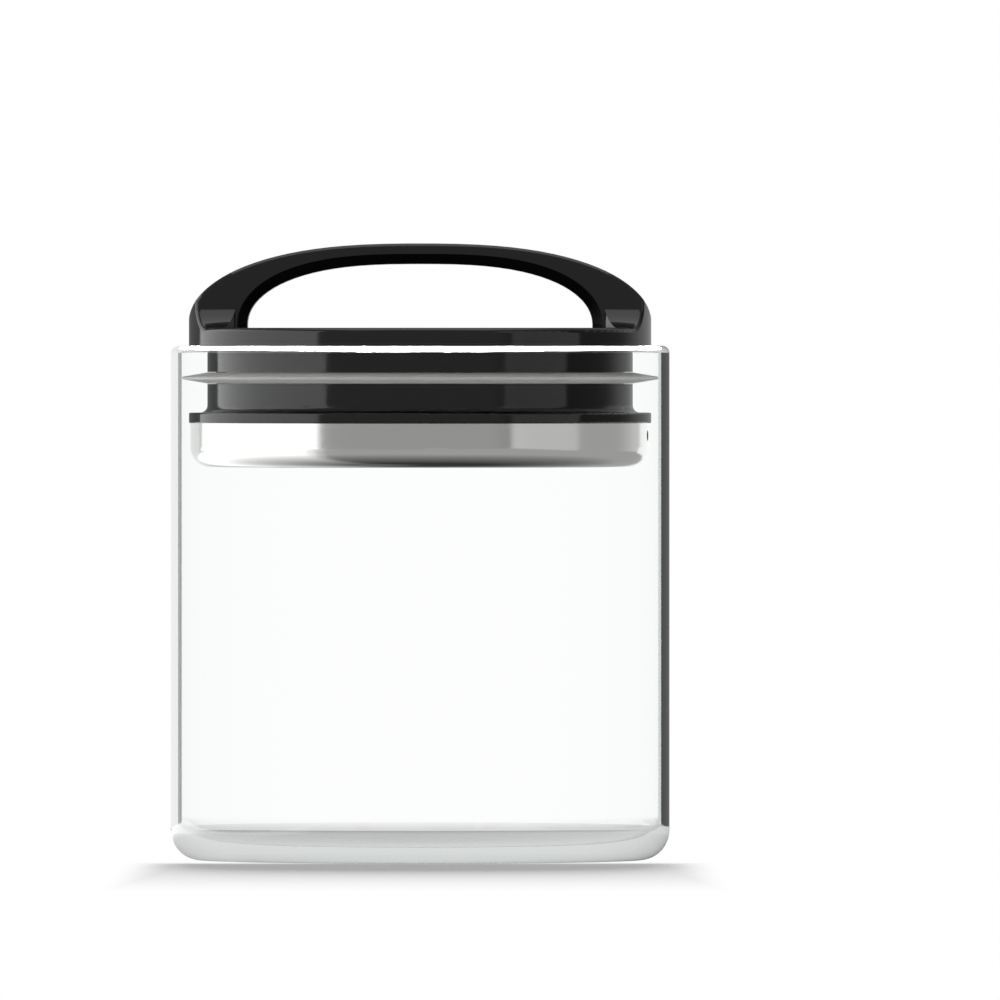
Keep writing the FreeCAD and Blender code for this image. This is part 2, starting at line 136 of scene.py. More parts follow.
class LidSizes(bpy.types.PropertyGroup):
    """Sizes of the lid's pieces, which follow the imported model"""

    cover_top: FloatProperty(
        name="Cover top", description="Height of the cover's flat top", default=jar_high.z + 3.6 * MM,
        unit="LENGTH")
    seal_root: FloatProperty(
        name="Seal root", description="Radius of the sealing ring's hole, in the groove", default=41.0 * MM,
        unit="LENGTH")
    seal_neck: FloatProperty(
        name="Seal neck", description="Radius at which the ring leaves the groove and tapers",
        default=42.65 * MM, unit="LENGTH")
    seal_lip: FloatProperty(
        name="Seal lip", description="Thickness of the lip at the glass", default=0.5 * MM, unit="LENGTH")
    seal_segments: IntProperty(
        name="Seal segments", description="Sides of the turned sealing ring", default=256, min=64, max=512)
    wire: FloatProperty(
        name="Spring wire", description="Thickness of the return spring's wire", default=0.7 * MM,
        unit="LENGTH")
    turns: IntProperty(
        name="Spring turns", description="Turns of the return spring", default=3, min=1, max=12)
    wire_segments: IntProperty(
        name="Wire segments", description="Sides of the spring's wire", default=20, min=8, max=64)
    turn_steps: IntProperty(
        name="Turn steps", description="Steps in each turn of the spring", default=72, min=16, max=256)


class FinishColours(bpy.types.PropertyGroup):
    """Colours of the canister's materials"""

    plastic: FloatVectorProperty(
        name="Black plastic", description="Colour of the handle, cover and piston body",
        subtype="COLOR", default=linear("#0a0a0b"), min=0, max=1)
    silicone: FloatVectorProperty(
        name="Grey silicone", description="Colour of the sealing ring's lip",
        subtype="COLOR", default=linear("#868685"), min=0, max=1)
    silicone_painted_light: FloatVectorProperty(
        name="Silicone, painted light", description="Colour of the sealing ring near its groove",
        subtype="COLOR", default=linear("#cdcdcb"), min=0, max=1)
    steel: FloatVectorProperty(
        name="Stainless steel", description="Colour of the cup under the lid",
        subtype="COLOR", default=linear("#dcdbd9"), min=0, max=1)
    acetal: FloatVectorProperty(
        name="White acetal", description="Colour of the valve parts in the lid",
        subtype="COLOR", default=linear("#e8e7e2"), min=0, max=1)
    valve_silicone: FloatVectorProperty(
        name="White silicone", description="Colour of the valve's gasket and disc",
        subtype="COLOR", default=linear("#d6d5cf"), min=0, max=1)
    zinc: FloatVectorProperty(
        name="Zinc plate", description="Colour of the screws and the washer",
        subtype="COLOR", default=linear("#b7bac0"), min=0, max=1)
    brass: FloatVectorProperty(
        name="Brass", description="Colour of the threaded insert",
        subtype="COLOR", default=linear("#c79a4b"), min=0, max=1)
    spring_wire: FloatVectorProperty(
        name="Spring wire", description="Colour of the drawn steel wire",
        subtype="COLOR", default=linear("#8f9194"), min=0, max=1)
    glass_shade: FloatVectorProperty(
        name="Glass shade", description="Tint that the glass takes where light goes a long way through it",
        subtype="COLOR", default=linear("#cfe3da"), min=0, max=1)


class StageSettings(bpy.types.PropertyGroup):
    """Camera, softboxes and white surroundings"""

    distance: FloatProperty(
        name="Camera distance", description="From the camera to the middle of the picture", default=6.0,
        unit="LENGTH")
    picture_width: FloatProperty(
        name="Picture width", description="Width that the picture covers at the object", default=200.52 * MM,
        unit="LENGTH")
    aim_x: FloatProperty(
        name="Aim across", description="Where the middle of the picture lies across the object",
        default=16.02 * MM, unit="LENGTH")
    aim_z: FloatProperty(
        name="Aim up", description="Where the middle of the picture lies above the floor",
        default=72.18 * MM, unit="LENGTH")
    elevation: FloatProperty(
        name="Elevation", description="Camera's angle above the level", default=math.radians(0.3016),
        subtype="ANGLE")
    floor_size: FloatProperty(
        name="Floor size", description="Side of the floor's square", default=0.8, unit="LENGTH")
    floor_drop: FloatProperty(
        name="Floor drop", description="Air gap that keeps the foot's face apart from the floor's",
        default=0.1 * MM, unit="LENGTH")
    paper: FloatVectorProperty(
        name="Paper", description="Colour of the floor", subtype="COLOR", default=linear("#b4b4b4"),
        min=0, max=1)
    paper_lift: FloatProperty(
        name="Paper lift", description="White added to the floor as the camera sees it", default=0.1)
    paper_front: FloatProperty(
        name="Paper in front", description="Brightness of the floor as the lid mirrors it", default=0.45)
    paper_left: FloatProperty(
        name="Paper on the left", description="Brightness of the floor as the lid mirrors it on the left",
        default=1.5)
    paper_bounce: FloatProperty(
        name="Paper bounce", description="Brightness of the floor as it lights matt surfaces", default=1.3)
    paper_in_glass: FloatProperty(
        name="Paper in glass", description="Brightness of the floor as the glass bends it", default=0.75)
    room_level: FloatProperty(
        name="Room level", description="Brightness of the room as it lights matt surfaces", default=0.7)
    front_level: FloatProperty(
        name="Front level", description="Brightness of the room in front", default=0.4)
    right_level: FloatProperty(
        name="Right level", description="Brightness of the room on the right", default=0.15)
    left_back_level: FloatProperty(
        name="Left back level", description="Brightness of the room behind on the left", default=0.17)
    right_back_level: FloatProperty(
        name="Right back level", description="Brightness of the room behind on the right", default=0.42)
    right_inside_level: FloatProperty(
        name="Right inside level",
        description="Brightness of the room behind on the right, as the lid mirrors it inside the glass",
        default=0.4)
    pale_edge_level: FloatProperty(
        name="Pale edge level", description="Brightness that the left wall of the glass takes up",
        default=0.83)
    right_glass_level: FloatProperty(
        name="Right glass level", description="Brightness that the glass's skin mirrors at its right edge",
        default=0.18)
    left_line_level: FloatProperty(
        name="Left line level", description="Brightness of the line along the left wall's inside",
        default=0.0)
    dark_edge_level: FloatProperty(
        name="Dark edge level", description="Brightness that the right wall of the glass takes up",
        default=0.03)
    right_line_level: FloatProperty(
        name="Right line level", description="Brightness of the line along the right wall's inside",
        default=1.0)
    inner_glow: FloatProperty(
        name="Inner glow", description="Brightness that the heel and rim of the glass take up", default=0.78)
    rim_level: FloatProperty(
        name="Rim softbox level", description="Brightness of the softbox that the glass rim mirrors",
        default=60.0)
    left_card_level: FloatProperty(
        name="Left card level", description="Brightness of the card behind on the left", default=0.75)
    right_card_level: FloatProperty(
        name="Right card level", description="Brightness of the wide card on the right", default=0.3)
    right_edge_level: FloatProperty(
        name="Right edge level", description="Brightness of the narrow card behind on the right", default=0.5)
    key_level: FloatProperty(
        name="Key softbox level", description="Brightness of the large softbox on the left", default=1.35)
    fill_level: FloatProperty(
        name="Fill softbox level", description="Brightness of the narrow softbox on the right", default=0.5)
    top_level: FloatProperty(
        name="Top softbox level", description="Brightness of the softbox overhead", default=1.1)
    back_level: FloatProperty(
        name="Back strip level", description="Brightness of the strip behind that lights the floor",
        default=42.0)


def start_modelling():
    """Leaves nothing selected, so that an operator acts only on what is added next."""
    if bpy.context.mode != "OBJECT":
        bpy.ops.object.mode_set(mode="OBJECT")
    bpy.ops.object.select_all(action="DESELECT")


def turned_shell(name, outline, segments, holed=False):
    """Closed turned shell: a ring of edges that is extruded from one (radius, height) to the next."""
    start_modelling()
    radius, height = outline[0]
    bpy.ops.mesh.primitive_circle_add(
        vertices=segments, radius=radius, fill_type="NOTHING" if holed else "NGON", enter_editmode=True)
    piece = bpy.context.object
    piece.name = name
    piece.data.name = name
    bpy.ops.mesh.select_mode(type="EDGE")
    bpy.ops.mesh.select_all(action="SELECT")
    bpy.ops.transform.translate(value=(0, 0, height))
    for next_radius, next_height in outline[1:]:
        bpy.ops.mesh.extrude_edges_indiv()
        growth = next_radius / radius
        bpy.ops.transform.resize(value=(growth, growth, 1), center_override=(0, 0, 0))
        bpy.ops.transform.translate(value=(0, 0, next_height - height))
        radius, height = next_radius, next_height
    if holed:
        bpy.ops.mesh.select_all(action="DESELECT")
        bpy.ops.mesh.select_non_manifold()
        bpy.ops.mesh.bridge_edge_loops()
    else:
        bpy.ops.mesh.edge_face_add()
    bpy.ops.mesh.select_all(action="SELECT")
    bpy.ops.mesh.normals_make_consistent(inside=False)
    bpy.ops.object.mode_set(mode="OBJECT")
    return piece


def wound_wire(name, radius, low, high, wire, turns, sides, steps):
    """Wire wound up in an open helix: a round section that a screw modifier carries round the axis."""
    start_modelling()
    bpy.ops.mesh.primitive_circle_add(
        vertices=sides, radius=wire / 2, location=(radius, 0, low + wire / 2), rotation=(math.pi / 2, 0, 0))
    piece = bpy.context.object
    piece.name = name
    piece.data.name = name
    bpy.ops.object.transform_apply(location=True, rotation=True, scale=True)
    coil = piece.modifiers.new("Coil", "SCREW")
    coil.axis = "Z"
    coil.iterations = turns
    coil.screw_offset = (high - low - wire) / turns
    coil.steps = steps
    coil.render_steps = steps
    bpy.ops.object.modifier_apply(modifier=coil.name)
    bpy.ops.object.mode_set(mode="EDIT")
    bpy.ops.mesh.select_all(action="SELECT")
    bpy.ops.mesh.fill_holes(sides=0)
    bpy.ops.mesh.select_all(action="SELECT")
    bpy.ops.mesh.normals_make_consistent(inside=False)
    bpy.ops.object.mode_set(mode="OBJECT")
    bpy.ops.object.shade_smooth_by_angle(angle=math.radians(40))
    return piece


def select_ring(piece, radius, height):
    """Selects the edges that run round at a radius and a height."""
    near = 0.01 * MM
    for polygon in piece.data.polygons:
        polygon.select = False
    for vertex in piece.data.vertices:
        off_ring = abs(math.hypot(vertex.co.x, vertex.co.y) - radius)
        vertex.select = off_ring < near and abs(vertex.co.z - height) < near
    for edge in piece.data.edges:
        edge.select = all(piece.data.vertices[index].select for index in edge.vertices)


def round_ring(piece, radius, height, rounding, segments):
    """Rounds the corner that runs round at a radius and a height."""
    select_ring(piece, radius, height)
    bpy.ops.object.mode_set(mode="EDIT")
    bpy.ops.mesh.select_mode(type="EDGE")
    bpy.ops.mesh.bevel(offset=rounding, segments=segments, affect="EDGES", clamp_overlap=False)
    bpy.ops.object.mode_set(mode="OBJECT")


def smooth_with_flat_faces_kept(piece):
    """Smooth shading in which the large faces keep their own direction."""
    bpy.ops.object.shade_smooth()
    modifier = piece.modifiers.new("Even shading", "WEIGHTED_NORMAL")
    modifier.weight = 80
    bpy.ops.object.modifier_apply(modifier=modifier.name)


def dress(node, material):
    """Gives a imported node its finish."""
    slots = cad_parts[node].material_slots
    for slot in slots:
        slot.material = material


def fire_polished_glass(colours, jar):
    """Soda-lime glass, pressed and fire polished: clear with a faint ripple, and darker where it is thick."""
    material, tree = empty_material("Soda-lime glass, fire polished")
    place = add_node(tree, "ShaderNodeTexCoord")
    # A ripple some 30 mm long is what the eye finds in pressed glass
    ripple = add_node(tree, "ShaderNodeTexNoise", {
        "Vector": place.outputs["Object"], "Scale": 1 / (30 * MM), "Detail": 1.0})
    bump = add_node(tree, "ShaderNodeBump", {
        "Height": ripple.outputs["Fac"], "Strength": 0.1, "Distance": 0.008 * MM})
    glass = add_node(tree, "ShaderNodeBsdfPrincipled", {
        "Base Color": (1, 1, 1, 1), "Roughness": 0.0, "IOR": 1.52, "Transmission Weight": 1.0,
        "Normal": bump.outputs["Normal"]})
    # Light from the lamps and the room goes straight through, so that what stands inside is lit
    # So does light that was mirrored before: once outside the wall, or three times between its two sides
    most_mirrored_in_wall = 2.5
    path = add_node(tree, "ShaderNodeLightPath")
    in_wall = add_node(tree, "ShaderNodeMath", {
        0: path.outputs["Transmission Depth"], 1: 2.0}, operation="MODULO")
    held = add_node(tree, "ShaderNodeMath", {
        0: in_wall.outputs["Value"], 1: most_mirrored_in_wall}, operation="MULTIPLY")
    bounced = add_node(tree, "ShaderNodeMath", {
        0: path.outputs["Glossy Depth"], 1: held.outputs["Value"]}, operation="GREATER_THAN")
    lighting = add_node(tree, "ShaderNodeMath", {
        0: path.outputs["Is Shadow Ray"], 1: path.outputs["Is Diffuse Ray"]}, operation="MAXIMUM")
    passing = add_node(tree, "ShaderNodeMath", {
        0: bounced.outputs["Value"], 1: lighting.outputs["Value"]}, operation="MAXIMUM")
    # Seen square on, the even wall between heel and rim shows what is behind it as it is
    widest_slant = 0.706
    axes = add_node(tree, "ShaderNodeSeparateXYZ", {"Vector": place.outputs["Object"]})
    above_heel = add_node(tree, "ShaderNodeMapRange", {
        "Value": axes.outputs["Z"], "From Min": jar.heel + 1 * MM, "From Max": jar.heel + 3 * MM})
    below_rim = add_node(tree, "ShaderNodeMath", {
        0: axes.outputs["Z"], 1: jar.height - jar.rim_outside}, operation="LESS_THAN")
    even_wall = add_node(tree, "ShaderNodeMath", {
        0: above_heel.outputs["Result"], 1: below_rim.outputs["Value"]}, operation="MULTIPLY")
    slant = add_node(tree, "ShaderNodeLayerWeight", {"Blend": 0.5})
    square_on = add_node(tree, "ShaderNodeMath", {
        0: slant.outputs["Facing"], 1: widest_slant}, operation="LESS_THAN")
    entered = add_node(tree, "ShaderNodeMath", {
        0: even_wall.outputs["Value"], 1: square_on.outputs["Value"]}, operation="MULTIPLY")
    within = add_node(tree, "ShaderNodeMath", {
        0: path.outputs["Transparent Depth"], 1: 0.5}, operation="GREATER_THAN")
    clear = add_node(tree, "ShaderNodeMath", {
        0: entered.outputs["Value"], 1: within.outputs["Value"]}, operation="MAXIMUM")
    clear_view = add_node(tree, "ShaderNodeMath", {
        0: clear.outputs["Value"], 1: path.outputs["Is Camera Ray"]}, operation="MULTIPLY")
    open_way = add_node(tree, "ShaderNodeMath", {
        0: passing.outputs["Value"], 1: clear_view.outputs["Value"]}, operation="MAXIMUM")
    # The glass below the lid throws a soft shadow on the floor, and the glass round the lid hardly any
    below_lid, round_lid = 70 * MM, 78 * MM
    clearness = add_node(tree, "ShaderNodeMapRange", {
        "Value": axes.outputs["Z"], "From Min": below_lid, "From Max": round_lid,
        "To Min": 0.55, "To Max": 0.97})
    shade = add_node(tree, "ShaderNodeMix", {
        "Factor": path.outputs["Is Shadow Ray"], "A": 1.0, "B": clearness.outputs["Result"]})
    through = add_node(tree, "ShaderNodeBsdfTransparent", {"Color": shade.outputs["Result"]})
    surface = add_node(tree, "ShaderNodeMixShader", {
        "Fac": open_way.outputs["Value"], 1: glass.outputs["BSDF"], 2: through.outputs["BSDF"]})
    depth = add_node(tree, "ShaderNodeVolumeAbsorption", {
        "Color": opaque(colours.glass_shade), "Density": 15.0})
    add_node(tree, "ShaderNodeOutputMaterial", {
        "Surface": surface.outputs["Shader"], "Volume": depth.outputs["Volume"]})
    return material


def moulded_abs(colours, cover_top):
    """ABS moulded against a fine spark finish: deep black with a satin sheen that varies a little."""
    material, tree = empty_material("Black ABS, satin moulded")
    place = add_node(tree, "ShaderNodeTexCoord")
    # Spark grain is about 0.05 mm; it is drawn at 0.25 mm to show at all
    grain = add_node(tree, "ShaderNodeTexNoise", {
        "Vector": place.outputs["Object"], "Scale": 1 / (0.25 * MM), "Detail": 2.0})
    bump = add_node(tree, "ShaderNodeBump", {
        "Height": grain.outputs["Fac"], "Strength": 0.15, "Distance": 0.002 * MM})
    # Flow in the mould leaves patches of slightly different gloss, some 15 mm across
    flow = add_node(tree, "ShaderNodeTexNoise", {
        "Vector": place.outputs["Object"], "Scale": 1 / (15 * MM), "Detail": 3.0})
    sheen = add_node(tree, "ShaderNodeMapRange", {
        "Value": flow.outputs["Fac"], "From Min": 0.3, "From Max": 0.7, "To Min": 0.07, "To Max": 0.11})
    # A coarser spark finish roughens the cover's flat top and the handle's crown, and a painted dimming of
    # their reflection keeps them black at a low angle
    top_begins, top_ends = cover_top - 0.1 * MM, cover_top - 0.01 * MM
    facing = add_node(tree, "ShaderNodeSeparateXYZ", {"Vector": place.outputs["Normal"]})
    upward = add_node(tree, "ShaderNodeMapRange", {
        "Value": facing.outputs["Z"], "From Min": 0.8, "From Max": 0.97})
    axes = add_node(tree, "ShaderNodeSeparateXYZ", {"Vector": place.outputs["Object"]})
    outside = add_node(tree, "ShaderNodeMapRange", {
        "Value": axes.outputs["Z"], "From Min": top_begins, "From Max": top_ends})
    matt = add_node(tree, "ShaderNodeMath", {
        0: upward.outputs["Result"], 1: outside.outputs["Result"]}, operation="MULTIPLY")
    rough = add_node(tree, "ShaderNodeMath", {
        0: matt.outputs["Value"], 1: 0.3, 2: sheen.outputs["Result"]}, operation="MULTIPLY_ADD")
    # Painted shade: the top faces reflect less, so that they stay dark
    level = add_node(tree, "ShaderNodeMath", {
        0: matt.outputs["Value"], 1: -0.25, 2: 0.5}, operation="MULTIPLY_ADD")
    body = add_node(tree, "ShaderNodeBsdfPrincipled", {
        "Base Color": opaque(colours.plastic), "Roughness": rough.outputs["Value"], "IOR": 1.5,
        "Specular IOR Level": level.outputs["Value"], "Normal": bump.outputs["Normal"]})
    add_node(tree, "ShaderNodeOutputMaterial", {"Surface": body.outputs["BSDF"]})
    return material


def drawn_stainless(colours):
    """Stainless sheet, drawn and polished round: bright bands with sharp sides, softened up and down."""
    material, tree = empty_material("Stainless steel, drawn and polished")
    place = add_node(tree, "ShaderNodeTexCoord")
    axes = add_node(tree, "ShaderNodeSeparateXYZ", {"Vector": place.outputs["Object"]})
    flat = add_node(tree, "ShaderNodeCombineXYZ", {"X": axes.outputs["X"], "Y": axes.outputs["Y"]})
    reach = add_node(tree, "ShaderNodeVectorMath", {0: flat.outputs["Vector"]}, operation="LENGTH")
    rings = add_node(tree, "ShaderNodeCombineXYZ", {"X": reach.outputs["Value"], "Z": axes.outputs["Z"]})
    # Polishing lines are about 0.03 mm apart; they are drawn at 0.2 mm to show
    lines = add_node(tree, "ShaderNodeTexNoise", {
        "Vector": rings.outputs["Vector"], "Scale": 1 / (0.2 * MM), "Detail": 2.0})
    bump = add_node(tree, "ShaderNodeBump", {
        "Height": lines.outputs["Fac"], "Strength": 0.2, "Distance": 0.003 * MM})
    rough = add_node(tree, "ShaderNodeMapRange", {
        "Value": lines.outputs["Fac"], "From Min": 0.3, "From Max": 0.7, "To Min": 0.10, "To Max": 0.16})
    round_axis = add_node(tree, "ShaderNodeTangent", direction_type="RADIAL", axis="Z")
    metal = add_node(tree, "ShaderNodeBsdfPrincipled", {
        "Base Color": opaque(colours.steel), "Metallic": 1.0, "Roughness": rough.outputs["Result"],
        "Anisotropic": 0.4, "Tangent": round_axis.outputs["Tangent"], "Normal": bump.outputs["Normal"]})
    add_node(tree, "ShaderNodeOutputMaterial", {"Surface": metal.outputs["BSDF"]})
    return material


def cured_silicone(name, colour, fade=None):
    """Moulded silicone rubber: soft matt skin that lets light in a little way, with a dusty bloom.

    A fade is the radii between which the tone changes, and the paler colour at the first of them, which is
    painted light.
    """
    material, tree = empty_material(name)
    place = add_node(tree, "ShaderNodeTexCoord")
    # Bloom and handling leave cloudy patches, some 6 mm across
    bloom = add_node(tree, "ShaderNodeTexNoise", {
        "Vector": place.outputs["Object"], "Scale": 1 / (6 * MM), "Detail": 4.0})
    dusty = tuple(0.94 * channel for channel in colour)
    tone = add_node(tree, "ShaderNodeMix", {
        "Factor": bloom.outputs["Fac"], "A": opaque(dusty), "B": opaque(colour)}, data_type="RGBA")
    if fade:
        # Painted light: the ring is paler towards the groove, where the cover above shades it, and keeps its
        # own tone at the lip
        root, lip, painted_light_colour = fade
        axes = add_node(tree, "ShaderNodeSeparateXYZ", {"Vector": place.outputs["Object"]})
        flat = add_node(tree, "ShaderNodeCombineXYZ", {"X": axes.outputs["X"], "Y": axes.outputs["Y"]})
        reach = add_node(tree, "ShaderNodeVectorMath", {0: flat.outputs["Vector"]}, operation="LENGTH")
        toward_lip = add_node(tree, "ShaderNodeMapRange", {
            "Value": reach.outputs["Value"], "From Min": root, "From Max": lip})
        tone = add_node(tree, "ShaderNodeMix", {
            "Factor": toward_lip.outputs["Result"], "A": opaque(painted_light_colour), "B": tone.outputs["Result"]},
            data_type="RGBA")
    rough = add_node(tree, "ShaderNodeMapRange", {
        "Value": bloom.outputs["Fac"], "From Min": 0.3, "From Max": 0.7, "To Min": 0.38, "To Max": 0.5})
    rubber = add_node(tree, "ShaderNodeBsdfPrincipled", {
        "Base Color": tone.outputs["Result"], "Roughness": rough.outputs["Result"], "IOR": 1.41,
        "Subsurface Weight": 1.0, "Subsurface Radius": (1.0, 1.0, 1.0), "Subsurface Scale": 4 * MM})
    add_node(tree, "ShaderNodeOutputMaterial", {"Surface": rubber.outputs["BSDF"]})
    return material


def moulded_acetal(colours):
    """Acetal, moulded: milky white with a waxy low gloss."""
    material, tree = empty_material("White acetal, moulded")
    place = add_node(tree, "ShaderNodeTexCoord")
    flow = add_node(tree, "ShaderNodeTexNoise", {
        "Vector": place.outputs["Object"], "Scale": 1 / (4 * MM), "Detail": 3.0})
    rough = add_node(tree, "ShaderNodeMapRange", {
        "Value": flow.outputs["Fac"], "From Min": 0.3, "From Max": 0.7, "To Min": 0.3, "To Max": 0.42})
    body = add_node(tree, "ShaderNodeBsdfPrincipled", {
        "Base Color": opaque(colours.acetal), "Roughness": rough.outputs["Result"], "IOR": 1.48,
        "Subsurface Weight": 0.15, "Subsurface Radius": (1.0, 0.9, 0.8), "Subsurface Scale": 0.8 * MM})
    add_node(tree, "ShaderNodeOutputMaterial", {"Surface": body.outputs["BSDF"]})
    return material


def worked_metal(name, colour, grain, roughness):
    """Small turned, drawn or plated metal piece, with marks as wide as its grain in millimetres."""
    material, tree = empty_material(name)
    place = add_node(tree, "ShaderNodeTexCoord")
    marks = add_node(tree, "ShaderNodeTexNoise", {
        "Vector": place.outputs["Object"], "Scale": 1 / (grain * MM), "Detail": 3.0})
    rough = add_node(tree, "ShaderNodeMapRange", {
        "Value": marks.outputs["Fac"], "From Min": 0.3, "From Max": 0.7,
        "To Min": 0.8 * roughness, "To Max": 1.2 * roughness})
    bump = add_node(tree, "ShaderNodeBump", {
        "Height": marks.outputs["Fac"], "Strength": 0.2, "Distance": 0.005 * MM})
    metal = add_node(tree, "ShaderNodeBsdfPrincipled", {
        "Base Color": opaque(colour), "Metallic": 1.0, "Roughness": rough.outputs["Result"],
        "Normal": bump.outputs["Normal"]})
    add_node(tree, "ShaderNodeOutputMaterial", {"Surface": metal.outputs["BSDF"]})
    return material


class CANISTER_OT_glass_jar(bpy.types.Operator):
    """Turn the glass jar and give it clear glass"""

    bl_idname = "canister.glass_jar"
    bl_label = "Glass jar"

    def execute(self, context):
        jar = context.scene.canister_jar
        foot_inside = jar.radius - jar.heel - jar.foot_ring
        punt_inside = foot_inside - jar.punt_slope
        bore = jar.radius - jar.wall
        piece = turned_shell("clear_glass_jar", [
            (punt_inside, jar.punt_depth),
            (foot_inside, 0),
            (jar.radius, 0),
            (jar.radius, jar.height),
            (bore, jar.height),
            (bore, jar.base),
        ], jar.segments)
        round_ring(piece, jar.radius, 0, jar.heel, segments=20)
        round_ring(piece, bore, jar.base, jar.inner_heel, segments=16)
        round_ring(piece, jar.radius, jar.height, jar.rim_outside, segments=24)
        round_ring(piece, bore, jar.height, jar.rim_inside, segments=8)
        round_ring(piece, punt_inside, jar.punt_depth, jar.punt_slope / 3, segments=4)
        smooth_with_flat_faces_kept(piece)
        piece.data.materials.append(fire_polished_glass(context.scene.canister_colours, jar))
        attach(piece, "jar")
        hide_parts("glass_jar")
        return {"FINISHED"}


class CANISTER_OT_lid_shell(bpy.types.Operator):
    """Finish the handle, cover and piston body in black plastic"""

    bl_idname = "canister.lid_shell"
    bl_label = "Lid shell"

    def execute(self, context):
        plastic = moulded_abs(context.scene.canister_colours, context.scene.canister_lid.cover_top)
        dress("handle_cover", plastic)
        dress("piston_body", plastic)
        return {"FINISHED"}


class CANISTER_OT_base_cup(bpy.types.Operator):
    """Finish the cup under the lid in stainless steel"""

    bl_idname = "canister.base_cup"
    bl_label = "Base cup"

    def execute(self, context):
        dress("base_cup", drawn_stainless(context.scene.canister_colours))
        return {"FINISHED"}


class CANISTER_OT_seal_ring(bpy.types.Operator):
    """Turn the sealing ring and give it grey silicone"""

    bl_idname = "canister.seal_ring"
    bl_label = "Seal ring"

    def execute(self, context):
        lid = context.scene.canister_lid
        middle = (seal_low.z + seal_high.z) / 2
        half_lip = lid.seal_lip / 2
        tip = seal_high.x
        piece = turned_shell("silicone_seal_ring", [
            (lid.seal_root, seal_low.z),
            (lid.seal_neck, seal_low.z),
            (tip, middle - half_lip),
            (tip, middle + half_lip),
            (lid.seal_neck, seal_high.z),
            (lid.seal_root, seal_high.z),
        ], lid.seal_segments, holed=True)
        for height in (middle - half_lip, middle + half_lip):
            round_ring(piece, tip, height, 0.9 * half_lip, segments=5)
        smooth_with_flat_faces_kept(piece)
        colours = context.scene.canister_colours
        # The ring is painted lighter towards its groove, against the shade under the cover
        fade = (lid.seal_neck, tip, colours.silicone_painted_light)
        piece.data.materials.append(cured_silicone("Grey silicone, moulded", colours.silicone, fade))
        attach(piece, "seal")
        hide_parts("seal_ring")
        return {"FINISHED"}


class CANISTER_OT_valve_parts(bpy.types.Operator):
    """Finish the valves, bridge and bush inside the lid"""

    bl_idname = "canister.valve_parts"
    bl_label = "Valve parts"

    def execute(self, context):
        colours = context.scene.canister_colours
        acetal = moulded_acetal(colours)
        for node in ("release_valve", "valve_bridge", "guide_bush", "exhaust_cage"):
            dress(node, acetal)
        silicone = cured_silicone("White silicone, moulded", colours.valve_silicone)
        for node in ("release_gasket", "exhaust_valve"):
            dress(node, silicone)
        return {"FINISHED"}


class CANISTER_OT_return_spring(bpy.types.Operator):
    """Wind the return spring at one length; in the real lid it shortens as the handle rises"""

    bl_idname = "canister.return_spring"
    bl_label = "Return spring"

    def execute(self, context):
        lid = context.scene.canister_lid
        radius = spring_high.x - lid.wire / 2
        piece = wound_wire("wound_return_spring", radius, spring_low.z, spring_high.z, lid.wire, lid.turns,
                           lid.wire_segments, lid.turn_steps)
        wire = context.scene.canister_colours.spring_wire
        piece.data.materials.append(worked_metal("Spring steel, drawn wire", wire, grain=0.3, roughness=0.3))
        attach(piece, "plunger")
        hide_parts("return_spring")
        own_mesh(piece)
        return {"FINISHED"}


class CANISTER_OT_fasteners(bpy.types.Operator):
    """Finish the screws, washer and threaded insert inside the lid"""

    bl_idname = "canister.fasteners"
    bl_label = "Fasteners"

    def execute(self, context):
        colours = context.scene.canister_colours
        zinc = worked_metal("Zinc-plated steel", colours.zinc, grain=0.8, roughness=0.35)
        brass = worked_metal("Brass, turned", colours.brass, grain=0.2, roughness=0.25)
        for node in ("stem_screw", "stem_washer", "bridge_screws"):
            dress(node, zinc)
        dress("boss_insert", brass)
        return {"FINISHED"}


